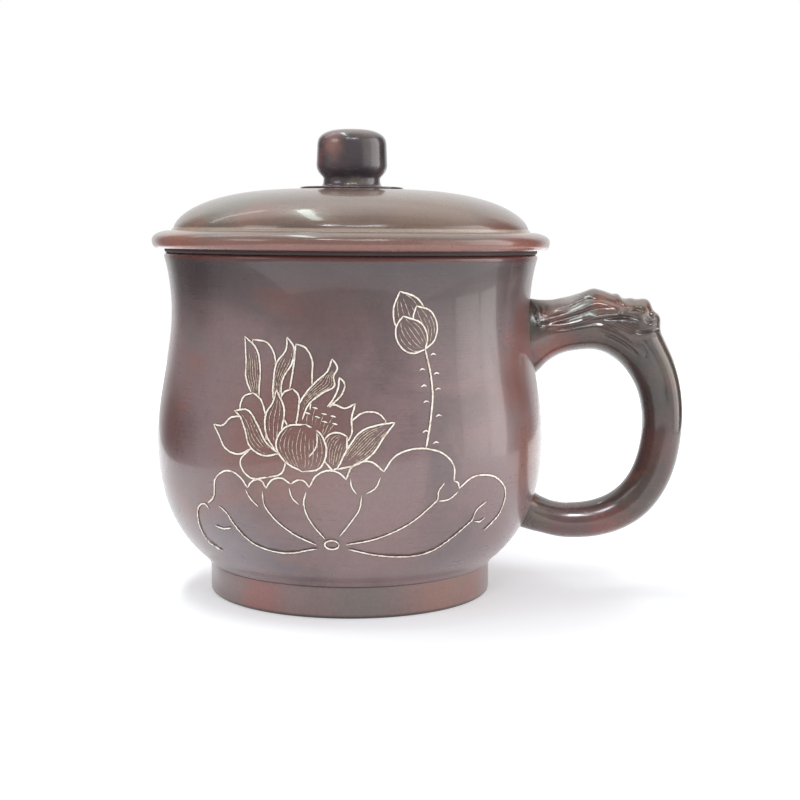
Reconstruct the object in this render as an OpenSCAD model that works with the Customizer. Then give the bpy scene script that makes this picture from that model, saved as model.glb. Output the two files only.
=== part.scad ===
// Lidded tea mug with a lift-out infuser and a dragon-headed loop handle, in burnished clay.
// Millimetres, +Z up. The origin is the centre of the foot, on the surface that the mug
// stands on, and the handle points along +X. Every piece is turned or swept about that frame.

/* [Bowl] */
// Height of the drinking rim
mug_h = 87.5; // [82:0.5:100]
// Outer radius at the rim
rim_r = 48; // [46.5:0.1:51]
// Outer radius of the waist, the narrowest part under the rim
waist_r = 46.2; // [44:0.1:47.5]
// Height of the flared neck, from the waist up to the rim
neck_h = 14; // [10:0.5:18]
// Outer radius at the widest part of the belly
belly_r = 50.1; // [48:0.1:54]
// Height of the widest part of the belly
belly_z = 40; // [36:0.5:44]
// Thickness of the thrown wall
wall = 4; // [3:0.1:5]
// Thickness of the bowl's floor
floor_t = 5; // [3.5:0.25:7]
// Radius of the rounded corner between floor and wall, inside
floor_corner_r = 9; // [5:0.5:12]
// Rounding of the lip's two edges
lip_round = 0.9; // [0.5:0.1:1.3]

/* [Foot ring] */
// Outer radius of the foot ring
foot_r = 36.5; // [34:0.1:39]
// Height of the foot ring
foot_h = 8; // [6:0.25:11]
// Width of the ring's wall
foot_w = 6.5; // [4:0.25:9]
// Rounding of the ring's edges
foot_round = 0.8; // [0.4:0.1:1]
// How far the bowl stands out past the ring, above the luted seam
seam_step = 0.7; // [0.2:0.1:1.5]

/* [Infuser] */
// Thickness of the flange that lies on the rim
flange_t = 2.6; // [2:0.1:3.5]
// How far the flange's edge stays inside the rim's
flange_setback = 0.1; // [0:0.1:0.6]
// Depth of the infuser below the rim
infuser_depth = 58; // [45:1:66]
// Thickness of the infuser's wall
infuser_wall = 3; // [2.2:0.1:3.6]
// Thickness of the pierced floor
infuser_floor_t = 3; // [2.2:0.1:4]
// Height of the straight band under the flange
infuser_band = 14; // [11:0.5:20]
// Taper of the infuser's radius, from the band down to the floor
infuser_taper = 3; // [1:0.25:6]
// Diameter of a strainer hole
hole_d = 2.4; // [1.6:0.1:3]
// Distance from one ring of floor holes to the next
hole_pitch = 8; // [6:0.5:9]
// Number of rings of holes in the floor, round the centre hole
hole_rings = 3; // [1:1:3]
// Number of holes in each row round the wall
wall_holes = 16; // [8:1:24]
// Number of rows of holes round the wall
wall_rows = 3; // [1:1:4]
// Distance between those rows
wall_row_pitch = 6.5; // [4.5:0.25:8]

/* [Lid] */
// How far the lid's edge stands out past the mug's rim
lid_overhang = 3.1; // [2.4:0.1:6]
// How far the lapping edge stops above the mug's rim
lid_lift = 1.1; // [0.6:0.1:1.8]
// Height of the lid's edge, from its underside to the moulding line
lid_edge_h = 5; // [4.2:0.1:6.5]
// Distance from the lid's edge in to the moulding line, where the dome starts
moulding_in = 5.1; // [4:0.1:6.5]
// Width and height of the fine step round the foot of the dome
moulding_step = 0.4; // [0.2:0.05:0.6]
// Rise of the dome above the moulding line
dome_rise = 10.2; // [8:0.1:13]
// Thickness of the dome
dome_wall = 4; // [3:0.1:5]
// Thickness of the lid's collar
collar_wall = 3; // [2.2:0.1:3.6]
// Depth of the collar below the flange of the infuser
collar_depth = 6.5; // [4:0.5:8.5]

/* [Knob] */
// Radius of the thin disc under the knob
knob_disc_r = 13.3; // [11.5:0.1:16]
// Thickness of the disc's edge
knob_disc_t = 0.6; // [0.4:0.1:1]
// Radius of the knob's neck
knob_neck_r = 7.3; // [6:0.1:8.4]
// Height of the neck above the dome
knob_neck_z = 2.8; // [2:0.1:4]
// Largest radius of the knob
knob_r = 9.1; // [8.8:0.05:11]
// Height of the knob above the dome
knob_h = 15.3; // [13:0.1:20]
// Taper of the knob's side, from its widest part up to its shoulder
knob_taper = 0.3; // [0:0.05:1]

/* [Handle] */
// Finger room between the belly and the middle of the grip
grip_out = 31.3; // [29:0.1:36]
// Thickness of the grip, seen from the side
grip_t = 10.7; // [9:0.1:13]
// Width of the grip, seen from the end
grip_w = 11.4; // [9:0.1:14]
// Width of the dragon's head
head_w = 16.4; // [13:0.1:20]
// Drop of the upper arm's root below the waist
arm_drop = 6.8; // [4:0.1:12]
// Distance between the roots of the two arms
arm_span = 45.4; // [41:0.1:49]
// Rise of the upper arm above its root
arm_rise = 4; // [2:0.1:6]
// Sag of the lower arm below its root
arm_sag = 3.7; // [2:0.1:6]
// Depth to which both roots are luted into the wall
luting = 1.2; // [0.8:0.1:1.6]
// Depth of the carving on the dragon's head and mane
carve = 1; // [0:0.1:1.3]
// Radius of the dragon's applied eye pellets
eye_r = 1.15; // [0.8:0.05:1.6]

/* [Fits] */
// Clearance between the infuser and the mug's waist, on the radius
infuser_gap = 0.8; // [0.4:0.1:1.4]
// Clearance between the lid's collar and the infuser's mouth, on the radius
collar_gap = 0.6; // [0.3:0.1:1]
// Clearance between the lid's lapping edge and the infuser's flange, on the radius
lap_gap = 0.4; // [0.3:0.05:0.8]

/* [Hidden] */

$fn = 96;
clay = "#5b322b";
clay_dark = "#3f2826";
clay_red = "#6b3a2e";
curve_steps = 14;   // straight steps along each curve of a turned profile
arc_steps = 5;      // straight steps round each small rounding
cut = 1;            // how far a cutter runs past the surface it cuts

// ---- curves -------------------------------------------------------------------------

// A cubic curve through p[0] and p[3], drawn towards p[1] and p[2], as n steps.
function curve(p, n = curve_steps) = [for (i = [0:n]) point_on(p, i / n)];

function point_on(p, t) =
    pow(1 - t, 3) * p[0] + 3 * pow(1 - t, 2) * t * p[1] + 3 * (1 - t) * t * t * p[2]
    + pow(t, 3) * p[3];

function slope_on(p, t) =
    3 * (pow(1 - t, 2) * (p[1] - p[0]) + 2 * (1 - t) * t * (p[2] - p[1])
    + t * t * (p[3] - p[2]));

// A round corner of radius r about centre c, from angle a to angle b.
function corner(c, r, a, b, n = arc_steps) =
    [for (i = [0:n]) let (g = a + (b - a) * i / n) c + r * [cos(g), sin(g)]];

// Every point but the first, for joining one curve to the end of another.
function rest_of(points) = [for (i = [1:len(points) - 1]) points[i]];

function reversed(points) = [for (i = [len(points) - 1:-1:0]) points[i]];

// ---- bowl and foot ------------------------------------------------------------------

waist_z = mug_h - neck_h;
base_r = foot_r + seam_step;
base_round = 0.5;
belly_start = foot_h + base_round;
belly_lift = 0.76 * (belly_z - belly_start);

bowl_outside = concat(
    corner([base_r - base_round, belly_start], base_round, -90, 0),
    rest_of(curve([[base_r, belly_start], [base_r + 0.8, belly_start + 1.9],
                   [belly_r, belly_z - belly_lift], [belly_r, belly_z]])),
    rest_of(curve([[belly_r, belly_z], [belly_r, belly_z + 0.33 * (waist_z - belly_z)],
                   [waist_r, waist_z - 0.35 * (waist_z - belly_z)], [waist_r, waist_z]])),
    rest_of(curve([[waist_r, waist_z], [waist_r, waist_z + 0.06 * neck_h],
                   [waist_r + 0.1, mug_h - 0.5 * neck_h], [rim_r, mug_h - lip_round]], 8)),
    rest_of(corner([rim_r - lip_round, mug_h - lip_round], lip_round, 0, 90)));

// Outer radius of the bowl at a height.
function bowl_r_at(z) = lookup(z, [for (p = bowl_outside) [p.y, p.x]]);

floor_z = foot_h + floor_t;
corner_top = floor_z + floor_corner_r;
corner_out_r = bowl_r_at(corner_top) - wall;
lip_in = rim_r - wall;

bowl_inside = concat(
    [[0, floor_z]],
    curve([[corner_out_r - 1.4 * floor_corner_r, floor_z],
           [corner_out_r - 0.6 * floor_corner_r, floor_z],
           [corner_out_r - 0.25 * floor_corner_r, corner_top - 0.6 * floor_corner_r],
           [corner_out_r, corner_top]], 8),
    [for (p = bowl_outside) if (p.y > corner_top + 1 && p.y < mug_h - 1.5) p - [wall, 0]],
    corner([lip_in + lip_round, mug_h - lip_round], lip_round, 180, 90));

// The thrown bowl: belly, waist, flared rim and floor, hollow for the tea.
module mug_bowl() {
    color(clay)
    rotate_extrude()
    polygon(concat([[0, foot_h]], bowl_outside, reversed(bowl_inside)));
}

// The foot ring, luted under the bowl and turned true on the wheel.
module foot_ring() {
    in_r = foot_r - foot_w;
    out_c = foot_r - foot_round;
    in_c = in_r + foot_round;
    seam_round = 0.4;
    color(clay_red)
    rotate_extrude()
    polygon(concat(
        corner([in_c, foot_round], foot_round, 180, 270),
        corner([out_c, foot_round], foot_round, 270, 360),
        corner([foot_r - seam_round, foot_h - seam_round], seam_round, 0, 90),
        [[in_r, foot_h]]));
}

// ---- infuser ------------------------------------------------------------------------

flange_r = rim_r - flange_setback;
flange_top = mug_h + flange_t;
infuser_r = waist_r - wall - infuser_gap;
infuser_in_r = infuser_r - infuser_wall;
infuser_base_r = infuser_r - infuser_taper;
infuser_base_z = mug_h - infuser_depth;
band_z = mug_h - infuser_band;
infuser_corner_r = 7;
infuser_in_corner_r = infuser_corner_r - infuser_floor_t;

// Outer radius of the infuser at a height below the straight band.
function infuser_r_at(z) =
    infuser_r - infuser_taper * (band_z - z) / (band_z - infuser_base_z - infuser_corner_r);

// The infuser: a hanging cup with a flange that lies on the rim, and a pierced floor.
module infuser_cup() {
    flange_round = 0.6;
    mouth_round = 1;
    corner_z = infuser_base_z + infuser_corner_r;
    floor_top = infuser_base_z + infuser_floor_t;
    in_base_r = infuser_base_r - infuser_wall;
    color(clay_dark)
    difference() {
        rotate_extrude()
        polygon(concat(
            [[0, infuser_base_z]],
            corner([infuser_base_r - infuser_corner_r, corner_z], infuser_corner_r, -90, 0),
            [[infuser_r, band_z], [infuser_r, mug_h]],
            corner([flange_r - flange_round, mug_h + flange_round], flange_round, -90, 0),
            corner([flange_r - flange_round, flange_top - flange_round], flange_round, 0, 90),
            corner([infuser_in_r + mouth_round, flange_top - mouth_round], mouth_round, 90, 180),
            [[infuser_in_r, band_z]],
            corner([in_base_r - infuser_in_corner_r, corner_z], infuser_in_corner_r, 0, -90),
            [[0, floor_top]]));
        floor_holes();
        side_holes();
    }
}

// Rings of holes round the centre of the floor, six more in each ring.
module floor_holes() {
    for (ring = [0:hole_rings]) {
        count = max(1, 6 * ring);
        for (i = [0:count - 1])
            rotate(360 * i / count)
            translate([ring * hole_pitch, 0, infuser_base_z - cut])
            cylinder(d = hole_d, h = infuser_floor_t + 2 * cut, $fn = 24);
    }
}

// Staggered rows of holes round the lower wall.
module side_holes() {
    first_row_z = infuser_base_z + infuser_corner_r + hole_d;
    for (row = [0:wall_rows - 1])
        for (i = [0:wall_holes - 1]) {
            hole_z = first_row_z + row * wall_row_pitch;
            rotate(360 * (i + 0.5 * (row % 2)) / wall_holes)
            translate([infuser_r_at(hole_z) - infuser_wall - cut, 0, hole_z])
            rotate([0, 90, 0])
            cylinder(d = hole_d, h = infuser_wall + 2 * cut, $fn = 24);
        }
}

// ---- lid ----------------------------------------------------------------------------

lid_r = rim_r + lid_overhang;
moulding_r = lid_r - moulding_in;
lap_r = flange_r + lap_gap;
lid_under = mug_h + lid_lift;
moulding_z = lid_under + lid_edge_h;
crown_z = moulding_z + dome_rise;
collar_r = infuser_in_r - collar_gap;
collar_in_r = collar_r - collar_wall;

// The lid's shell: a dome on a rounded edge that laps over the infuser's flange.
module lid_dome() {
    edge_t = 1.3;
    edge_drop = 2.1;
    dome_r = moulding_r - moulding_step;
    under_r = lap_r + edge_t;
    hollow_top = crown_z - dome_wall;
    outside = concat(
        curve([[under_r, lid_under], [under_r + 0.9, lid_under],
               [lid_r, lid_under + 0.6], [lid_r, lid_under + edge_drop]], 6),
        rest_of(curve([[lid_r, lid_under + edge_drop], [lid_r, lid_under + edge_drop + 1.5],
               [moulding_r + 2.6, moulding_z - moulding_step - 0.2],
               [moulding_r, moulding_z - moulding_step]], 8)),
        [[moulding_r, moulding_z]],
        curve([[dome_r, moulding_z], [dome_r - 0.4, moulding_z + 3.2],
               [0.82 * dome_r, crown_z - 0.1], [knob_disc_r, crown_z]], 18));
    hollow = concat(
        [[0, hollow_top]],
        curve([[0.3 * collar_in_r, hollow_top], [0.75 * collar_in_r, hollow_top],
               [collar_in_r, hollow_top - 2], [collar_in_r, flange_top + 1.5]], 10));
    color(clay)
    rotate_extrude()
    polygon(concat(
        hollow, [[collar_in_r, flange_top], [lap_r, flange_top], [lap_r, lid_under]],
        outside, [[0, crown_z]]));
}

// The collar, luted under the lid, which keeps it centred in the infuser's mouth.
module lid_collar() {
    collar_round = 1;
    foot_z = mug_h - collar_depth;
    color(clay_dark)
    rotate_extrude()
    polygon(concat(
        corner([collar_in_r + collar_round, foot_z + collar_round], collar_round, 180, 270),
        corner([collar_r - collar_round, foot_z + collar_round], collar_round, 270, 360),
        [[collar_r, flange_top], [collar_in_r, flange_top]]));
}

// The knob, with the thin flared disc that seats it on the crown.
module lid_knob() {
    neck_z = crown_z + knob_neck_z;
    wide_z = neck_z + 3.6;
    shoulder_z = crown_z + knob_h - 3.2;
    shoulder_r = knob_r - knob_taper;
    disc_z = crown_z + knob_disc_t;
    top_z = crown_z + knob_h;
    disc_round = 0.25;
    neck_flare = 0.9;
    color(clay_red)
    rotate_extrude()
    polygon(concat(
        [[0, crown_z]],
        corner([knob_disc_r - disc_round, crown_z + disc_round], disc_round, -90, 0, 3),
        corner([knob_disc_r - disc_round, disc_z - disc_round], disc_round, 0, 90, 3),
        curve([[knob_neck_r + neck_flare, disc_z + 0.1], [knob_neck_r + 0.3, disc_z + 0.2],
               [knob_neck_r, disc_z + 0.8], [knob_neck_r, neck_z]], 8),
        rest_of(curve([[knob_neck_r, neck_z], [knob_neck_r + 0.2, neck_z + 0.9],
               [knob_r, neck_z + 1.2], [knob_r, wide_z]], 8)),
        [[shoulder_r + 0.1, shoulder_z - 0.8]],
        curve([[shoulder_r, shoulder_z], [shoulder_r - 0.3, shoulder_z + 2],
               [shoulder_r - 2.8, top_z], [0.25 * knob_r, top_z]], 8),
        [[0, top_z]]));
}

// ---- handle -------------------------------------------------------------------------

// The middle line of the handle, seen from the side: four curves, from the upper root
// over the dragon's shoulder and down the grip to the lower root.
upper_root_z = waist_z - arm_drop;
lower_root_z = upper_root_z - arm_span;
upper_root = [bowl_r_at(upper_root_z) - luting, upper_root_z];
lower_root = [bowl_r_at(lower_root_z) - luting, lower_root_z];
grip_x = belly_r + grip_out;
arm_top = [belly_r + 0.444 * grip_out, upper_root_z + arm_rise];
grip_mid = [grip_x, lower_root_z + 0.515 * arm_span];
arm_low = [belly_r + 0.24 * grip_out, lower_root_z - arm_sag];

middle_line = [
    [upper_root, upper_root + [0.166 * grip_out, 0.7], arm_top - [0.19 * grip_out, 0], arm_top],
    [arm_top, arm_top + [0.246 * grip_out, 0], grip_mid + [0, 0.383 * arm_span], grip_mid],
    [grip_mid, grip_mid - [0, 0.32 * arm_span], arm_low + [0.575 * grip_out, 0], arm_low],
    [arm_low, arm_low - [0.1 * grip_out, 0], lower_root + [0.1 * grip_out, -1.9], lower_root]];

// How far the handle reaches at a place u along it, 0 to 4: [u, outwards, inwards, sideways]
// from the middle line. The grip's own size is added to each; the rest is the shoulder's
// swell and the flare at the two roots.
SWELL = [
    [0.00, 3.9, 5.8, 2.4], [0.10, 3.9, 4.4, 1.9], [0.20, 3.7, 2.9, 1.6],
    [0.30, 2.9, 2.0, 1.4], [0.40, 2.3, 1.6, 1.3], [0.50, 1.8, 1.5, 1.5],
    [0.70, 1.7, 1.9, 1.9], [0.90, 2.2, 2.3, 2.2], [1.05, 1.9, 2.6, 2.3],
    [1.20, 1.4, 2.6, 2.4], [1.35, 1.2, 2.4, 2.4], [1.45, 0.9, 2.1, 2.1],
    [1.60, 0.1, 1.5, 1.3], [1.70, 0.1, 1.0, 0.8], [1.80, 0.1, 0.4, 0.4],
    [2.00, 0.1, -0.3, 0.0], [2.60, -0.2, -0.3, 0.0], [3.00, -1.0, -0.5, -0.5],
    [3.50, -0.9, -0.9, -0.3], [3.80, -0.4, -0.7, 0.3], [4.00, 0.2, -0.4, 0.9]];

// The table's value at u, averaged over a short stretch so that its corners don't show.
function swell(u, column) =
    let (table = [for (row = SWELL) [row[0], row[column]]], reach = 0.04)
    0.25 * (lookup(u - reach, table) + 2 * lookup(u, table) + lookup(u + reach, table));

// The dragon's outline on top of the arm, as rounded rises: [u, length, height].
// In order: the swept-back horn, the tuft before it, the back and the front of the crown
// of the head, and the nose.
CREST = [
    [0.97, 0.085, 0.75], [1.13, 0.024, 0.55], [1.222, 0.03, 0.6], [1.315, 0.068, 3],
    [1.427, 0.05, 1.95]];

function crest(u) = carve * rise_sum(u, len(CREST) - 1);

function rise_sum(u, i) =
    i < 0 ? 0 : CREST[i][2] * exp(-pow((u - CREST[i][0]) / CREST[i][1], 2))
    + rise_sum(u, i - 1);

// Carving on both cheeks, seen from the side and placed from the top of the arm. Each
// stroke is a curve: [height, width, its four control points]. A ridge stands out and a
// groove (negative) is cut in.
CARVING = [
    [0.9, 1.4, [[-13, 4.6], [-7, 4.2], [-2, 8.2], [5.5, 5.2]]],        // horn
    [-1, 0.6, [[-10.5, 2.2], [-7, 3.4], [-4, 4.6], [-0.6, 5.9]]],
    [0.9, 1.1, [[-14.5, -0.8], [-7, 0.4], [-3.5, 6.2], [4.5, 3.6]]],   // upper lock
    [-0.8, 0.6, [[-13, -1.2], [-7, -0.4], [-3, 2.6], [4.6, 2.5]]],
    [0.9, 0.9, [[-13.5, -2.1], [-6, -1.2], [-1, 2.6], [9.5, 1.4]]],    // whisker
    [0.6, 0.6, [[4.6, 1.7], [4.9, 2], [5.2, 2.5], [5.5, 3.2]]],        // its tuft
    [-0.7, 0.7, [[-10.5, -3.1], [-4, -1.9], [0, 0.4], [9, 0]]],
    [0.6, 1.3, [[3.4, -1.3], [5.5, -1], [7, -1], [9, -1.5]]],          // cheek
    [0.9, 0.9, [[6.2, 3], [8.2, 4.6], [10.5, 3.4], [12.8, 3.1]]],      // brow
    [-0.8, 1.2, [[10.4, 1.8], [11.2, 1.8], [12, 1.7], [12.8, 1.4]]],   // eye socket
    [0.7, 1, [[14.2, -0.2], [14.9, -0.2], [15.4, -0.8], [15.8, -1.4]]],   // nostril
    [-0.9, 0.6, [[11.6, -3.2], [13, -2.5], [14.5, -2.3], [16.4, -2.6]]],  // mouth
    [0.5, 0.9, [[11.4, -4.6], [13, -4.2], [14.5, -3.8], [15.8, -3.9]]],   // lower lip
    [0.5, 0.9, [[1, -1.9], [4.5, -2.7], [8, -4.4], [11, -7.2]]],       // jaw
    [-0.9, 0.6, [[-2, -2.8], [3, -2.8], [6.5, -4.6], [10.4, -8.1]]]];
stroke_steps = 8;

function sum_of(values, i = 0) = i >= len(values) ? 0 : values[i] + sum_of(values, i + 1);

// Distance from a point to the stretch of line from a to b.
function line_gap(p, a, b) =
    let (ab = b - a, t = max(0, min(1, (p - a) * ab / (ab * ab))))
    norm(p - a - t * ab);

strokes = [for (s = CARVING) [s[0], s[1], curve(s[2], stroke_steps)]];

function stroke(p, s) =
    let (gap = min([for (i = [1:stroke_steps]) line_gap(p, s[2][i - 1], s[2][i])]))
    s[0] * exp(-pow(gap / s[1], 2));

function carving(p) = carve * sum_of([for (s = strokes) stroke(p - arm_top, s)]);

// Points round the handle's skin at u, where turns are the angles from its outer edge.
head_swell = 2.4;   // of the head's half width, the part that SWELL adds
carved_end = 1.6;   // the place along the handle where the carving stops
function skin(u, turns) =
    let (seg = min(floor(u), 3), t = u - seg,
         middle = point_on(middle_line[seg], t),
         along = slope_on(middle_line[seg], t) / norm(slope_on(middle_line[seg], t)),
         outward = [-along.y, along.x],
         out_t = grip_t / 2 + swell(u, 1) + crest(u),
         in_t = grip_t / 2 + swell(u, 2),
         side_t = lookup(u, [[1.4, head_w / 2 - head_swell], [1.8, grip_w / 2]]) + swell(u, 3))
    [for (a = turns)
        let (across = cos(a) * (cos(a) > 0 ? out_t : in_t),
             p = middle + across * outward,
             relief = u < carved_end ? carving(p) * min(1, 1.4 * abs(sin(a))) : 0)
        [p.x, sin(a) * side_t + sign(sin(a)) * relief, p.y]];

// The sides of a ring crowd together on the two cheeks, where the carving is.
ring_sides = 56;
ring_bunching = 12;
side_turns = [for (i = [0:ring_sides - 1])
    360 * i / ring_sides + ring_bunching * sin(720 * i / ring_sides)];

// Places of the rings: close together along the carved arm and head, wider on the grip.
carved_rings = 74;
grip_rings = 20;
root_rings = 8;
ring_places = concat(
    [for (i = [0:carved_rings - 1]) carved_end * i / carved_rings],
    [for (i = [0:grip_rings - 1]) carved_end + (3 - carved_end) * i / grip_rings],
    [for (i = [0:root_rings]) 3 + i / root_rings]);

// The loop handle, drawn out from the dragon's shoulder, with its head looking outwards.
module dragon_handle() {
    rings = [for (u = ring_places) skin(u, side_turns)];
    last = len(rings) - 1;
    n = ring_sides;
    points = concat(
        [for (r = rings) each r],
        [[upper_root.x, 0, upper_root.y], [lower_root.x, 0, lower_root.y]]);
    start_hub = len(points) - 2;
    end_hub = len(points) - 1;
    sides = [for (j = [0:last - 1], i = [0:n - 1])
        let (a = j * n + i, b = j * n + (i + 1) % n)
        each [[a, b, b + n], [a, b + n, a + n]]];
    start_cap = [for (i = [0:n - 1]) [start_hub, (i + 1) % n, i]];
    end_cap = [for (i = [0:n - 1]) [end_hub, last * n + i, last * n + (i + 1) % n]];
    color(clay)
    polyhedron(points, concat(sides, start_cap, end_cap), convexity = 6);
}

// The two applied eye pellets, pressed in under the brow.
module dragon_eyes() {
    eye_place = 1.375;
    eye_turn = 37;
    eye_at = skin(eye_place, [eye_turn])[0];
    color(clay_dark)
    for (side = [-1, 1])
        translate([eye_at.x, side * eye_at.y, eye_at.z])
        sphere(r = eye_r, $fn = 32);
}

mug_bowl();
foot_ring();
dragon_handle();
dragon_eyes();
infuser_cup();
lid_dome();
lid_collar();
lid_knob();
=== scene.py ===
import math
import random

import bpy
import numpy as np
from mathutils import Matrix, Vector


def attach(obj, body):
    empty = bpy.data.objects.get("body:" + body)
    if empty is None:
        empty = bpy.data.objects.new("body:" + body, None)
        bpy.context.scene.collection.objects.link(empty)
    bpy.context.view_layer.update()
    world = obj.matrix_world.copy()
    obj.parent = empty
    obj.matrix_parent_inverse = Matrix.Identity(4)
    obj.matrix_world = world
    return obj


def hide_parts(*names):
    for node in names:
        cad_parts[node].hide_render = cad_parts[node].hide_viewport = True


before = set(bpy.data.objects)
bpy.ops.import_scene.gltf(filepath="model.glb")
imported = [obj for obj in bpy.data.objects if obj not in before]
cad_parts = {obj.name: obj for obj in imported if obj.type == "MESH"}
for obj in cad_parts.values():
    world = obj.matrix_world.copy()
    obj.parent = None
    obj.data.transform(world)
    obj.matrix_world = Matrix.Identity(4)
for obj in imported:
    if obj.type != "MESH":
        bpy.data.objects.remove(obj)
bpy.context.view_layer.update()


# ---- Bowl ---------------------------------------------------------------------------
# The bowl is thrown on the wheel in one piece: belly, waist, flared rim and floor. The
# clay is an iron-rich stoneware, burnished with a pebble while leather hard and rubbed
# with wax after firing. It is spun here from the outline of its CAD solid.

MM = 0.001

def linear(hex_colour):
    """An sRGB hex value such as "#5b322b" as linear RGBA."""
    parts = [int(hex_colour[i:i + 2], 16) / 255 for i in (1, 3, 5)]
    return [c / 12.92 if c <= 0.04045 else ((c + 0.055) / 1.055) ** 2.4 for c in parts] + [1.0]


def new_material(name):
    """A new material, with its node tree and its shader."""
    material = bpy.data.materials.new(name)
    material.use_nodes = True
    return material, material.node_tree, material.node_tree.nodes["Principled BSDF"]


def add(tree, kind, settings=None, inputs=None):
    """Adds one node. In inputs, a socket of another node is linked and a value is set. The
    setting "stops" gives a colour ramp its (place, hex colour) stops."""
    made = tree.nodes.new("ShaderNode" + kind)
    for name, value in (settings or {}).items():
        if name == "stops":
            for place, shade in value[2:]:
                made.color_ramp.elements.new(place)
            for element, (place, shade) in zip(made.color_ramp.elements, value):
                element.position = place
                element.color = linear(shade)
        else:
            setattr(made, name, value)
    for name, value in (inputs or {}).items():
        if isinstance(value, bpy.types.NodeSocket):
            tree.links.new(value, made.inputs[name])
        else:
            made.inputs[name].default_value = value
    return made


DRIFT = 9 * MM           # how far the edge of a flush wanders

# Burnished stoneware: the pebble closes the surface, so it shines softly like waxed wood.
# The kiln leaves broad clouds of plum, rust and bronze in it, the wheel fine level marks.
# Flushes are its named spots (x, y, z, reach, colour, amount) and bands its level zones
# (z, reach, colour, amount), in millimetres, each fading over its reach. The pebble
# doesn't get at an unpolished spot (x, y, z, reach), which stays without the wax's gloss.
def burnished_stoneware(name, umber, plum, rust, bronze, roughness, gloss, flushes=(), bands=(),
                        ring_mm=0.9, cloud_mm=24, ring_depth_mm=0.012, rust_share=0.5,
                        wax_blur=0.14, unpolished=None):
    material, tree, shader = new_material(name)
    place = add(tree, "TexCoord").outputs["Object"]

    drift = add(tree, "TexNoise", None, {
        "Vector": place, "Scale": 1 / (11 * MM), "Detail": 4.0, "Roughness": 0.6})
    drift_by = add(tree, "VectorMath", {"operation": "MULTIPLY_ADD"}, {
        0: drift.outputs["Color"], 1: (DRIFT, DRIFT, DRIFT), 2: place})
    wandered = drift_by.outputs["Vector"]

    clouds = add(tree, "TexNoise", None, {
        "Vector": place, "Scale": 1 / (cloud_mm * MM), "Detail": 4.0, "Roughness": 0.6,
        "Distortion": 0.7})
    cloud_colour = add(tree, "ValToRGB", {"stops": [(0.34, umber), (0.56, plum)]}, {
        "Fac": clouds.outputs["Fac"]})
    colour = cloud_colour.outputs["Color"]

    levelled = add(tree, "Mapping", None, {
        "Vector": place, "Scale": (1, 1, 1.9), "Location": (0.31, 0.17, 0.05)})
    rust_clouds = add(tree, "TexNoise", None, {
        "Vector": levelled.outputs["Vector"], "Scale": 0.8 / (cloud_mm * MM), "Detail": 5.0,
        "Roughness": 0.62})
    rust_amount = add(tree, "MapRange", {"interpolation_type": "SMOOTHSTEP"}, {
        "Value": rust_clouds.outputs["Fac"], "From Min": 0.72 - 0.4 * rust_share,
        "From Max": 0.92 - 0.4 * rust_share, "To Max": 0.8})
    colour = add(tree, "Mix", {"data_type": "RGBA"}, {
        0: rust_amount.outputs["Result"], 6: colour, 7: linear(rust)}).outputs[2]

    patina = add(tree, "TexNoise", None, {
        "Vector": place, "Scale": 1.3 / (cloud_mm * MM), "Detail": 5.0, "Roughness": 0.65,
        "Distortion": 0.9})
    patina_amount = add(tree, "MapRange", {"interpolation_type": "SMOOTHSTEP"}, {
        "Value": patina.outputs["Fac"], "From Min": 0.54, "From Max": 0.74, "To Max": 0.55})
    colour = add(tree, "Mix", {"data_type": "RGBA"}, {
        0: patina_amount.outputs["Result"], 6: colour, 7: linear(bronze)}).outputs[2]

    level = add(tree, "VectorMath", {"operation": "MULTIPLY"}, {
        0: place, 1: (0, 0, 1)}).outputs["Vector"]
    spots = [(wandered, [c * MM + DRIFT / 2 for c in spot[:3]], *spot[3:]) for spot in flushes]
    zones = [(level, (0, 0, z * MM), *rest) for z, *rest in bands]
    for where, at, reach, shade, amount in spots + zones:
        gap = add(tree, "VectorMath", {"operation": "DISTANCE"}, {0: where, 1: at})
        share = add(tree, "MapRange", {"interpolation_type": "SMOOTHSTEP"}, {
            "Value": gap.outputs["Value"], "From Min": 0.15 * reach * MM,
            "From Max": reach * MM, "To Min": amount, "To Max": 0.0})
        colour = add(tree, "Mix", {"data_type": "RGBA"}, {
            0: share.outputs["Result"], 6: colour, 7: linear(shade)}).outputs[2]

    grain = add(tree, "TexNoise", None, {
        "Vector": place, "Scale": 1 / (0.8 * MM), "Detail": 3.0, "Roughness": 0.7})
    grain_level = add(tree, "MapRange", None, {
        "Value": grain.outputs["Fac"], "From Min": 0.3, "From Max": 0.7, "To Min": 0.92,
        "To Max": 1.08})
    turned_place = add(tree, "Mapping", None, {"Vector": place, "Scale": (0.05, 0.05, 1)})
    turning = add(tree, "TexNoise", None, {
        "Vector": turned_place.outputs["Vector"], "Scale": 1 / (ring_mm * MM), "Detail": 4.0,
        "Roughness": 0.6})
    turning_level = add(tree, "MapRange", None, {
        "Value": turning.outputs["Fac"], "From Min": 0.3, "From Max": 0.7, "To Min": 0.975,
        "To Max": 1.025})
    both = add(tree, "Math", {"operation": "MULTIPLY"}, {
        0: grain_level.outputs["Result"], 1: turning_level.outputs["Result"]})
    shaded = add(tree, "VectorMath", {"operation": "SCALE"}, {
        0: colour, "Scale": both.outputs["Value"]})
    tree.links.new(shaded.outputs["Vector"], shader.inputs["Base Color"])

    polish = add(tree, "MapRange", None, {
        "Value": turning.outputs["Fac"], "From Min": 0.3, "From Max": 0.7,
        "To Min": roughness - 0.02, "To Max": roughness + 0.02})
    worn = add(tree, "MapRange", None, {
        "Value": patina.outputs["Fac"], "From Min": 0.35, "From Max": 0.75,
        "To Min": -0.04, "To Max": 0.06})
    uneven = add(tree, "Math", {"operation": "ADD"}, {
        0: polish.outputs["Result"], 1: worn.outputs["Result"]})
    tree.links.new(uneven.outputs["Value"], shader.inputs["Roughness"])

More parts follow.
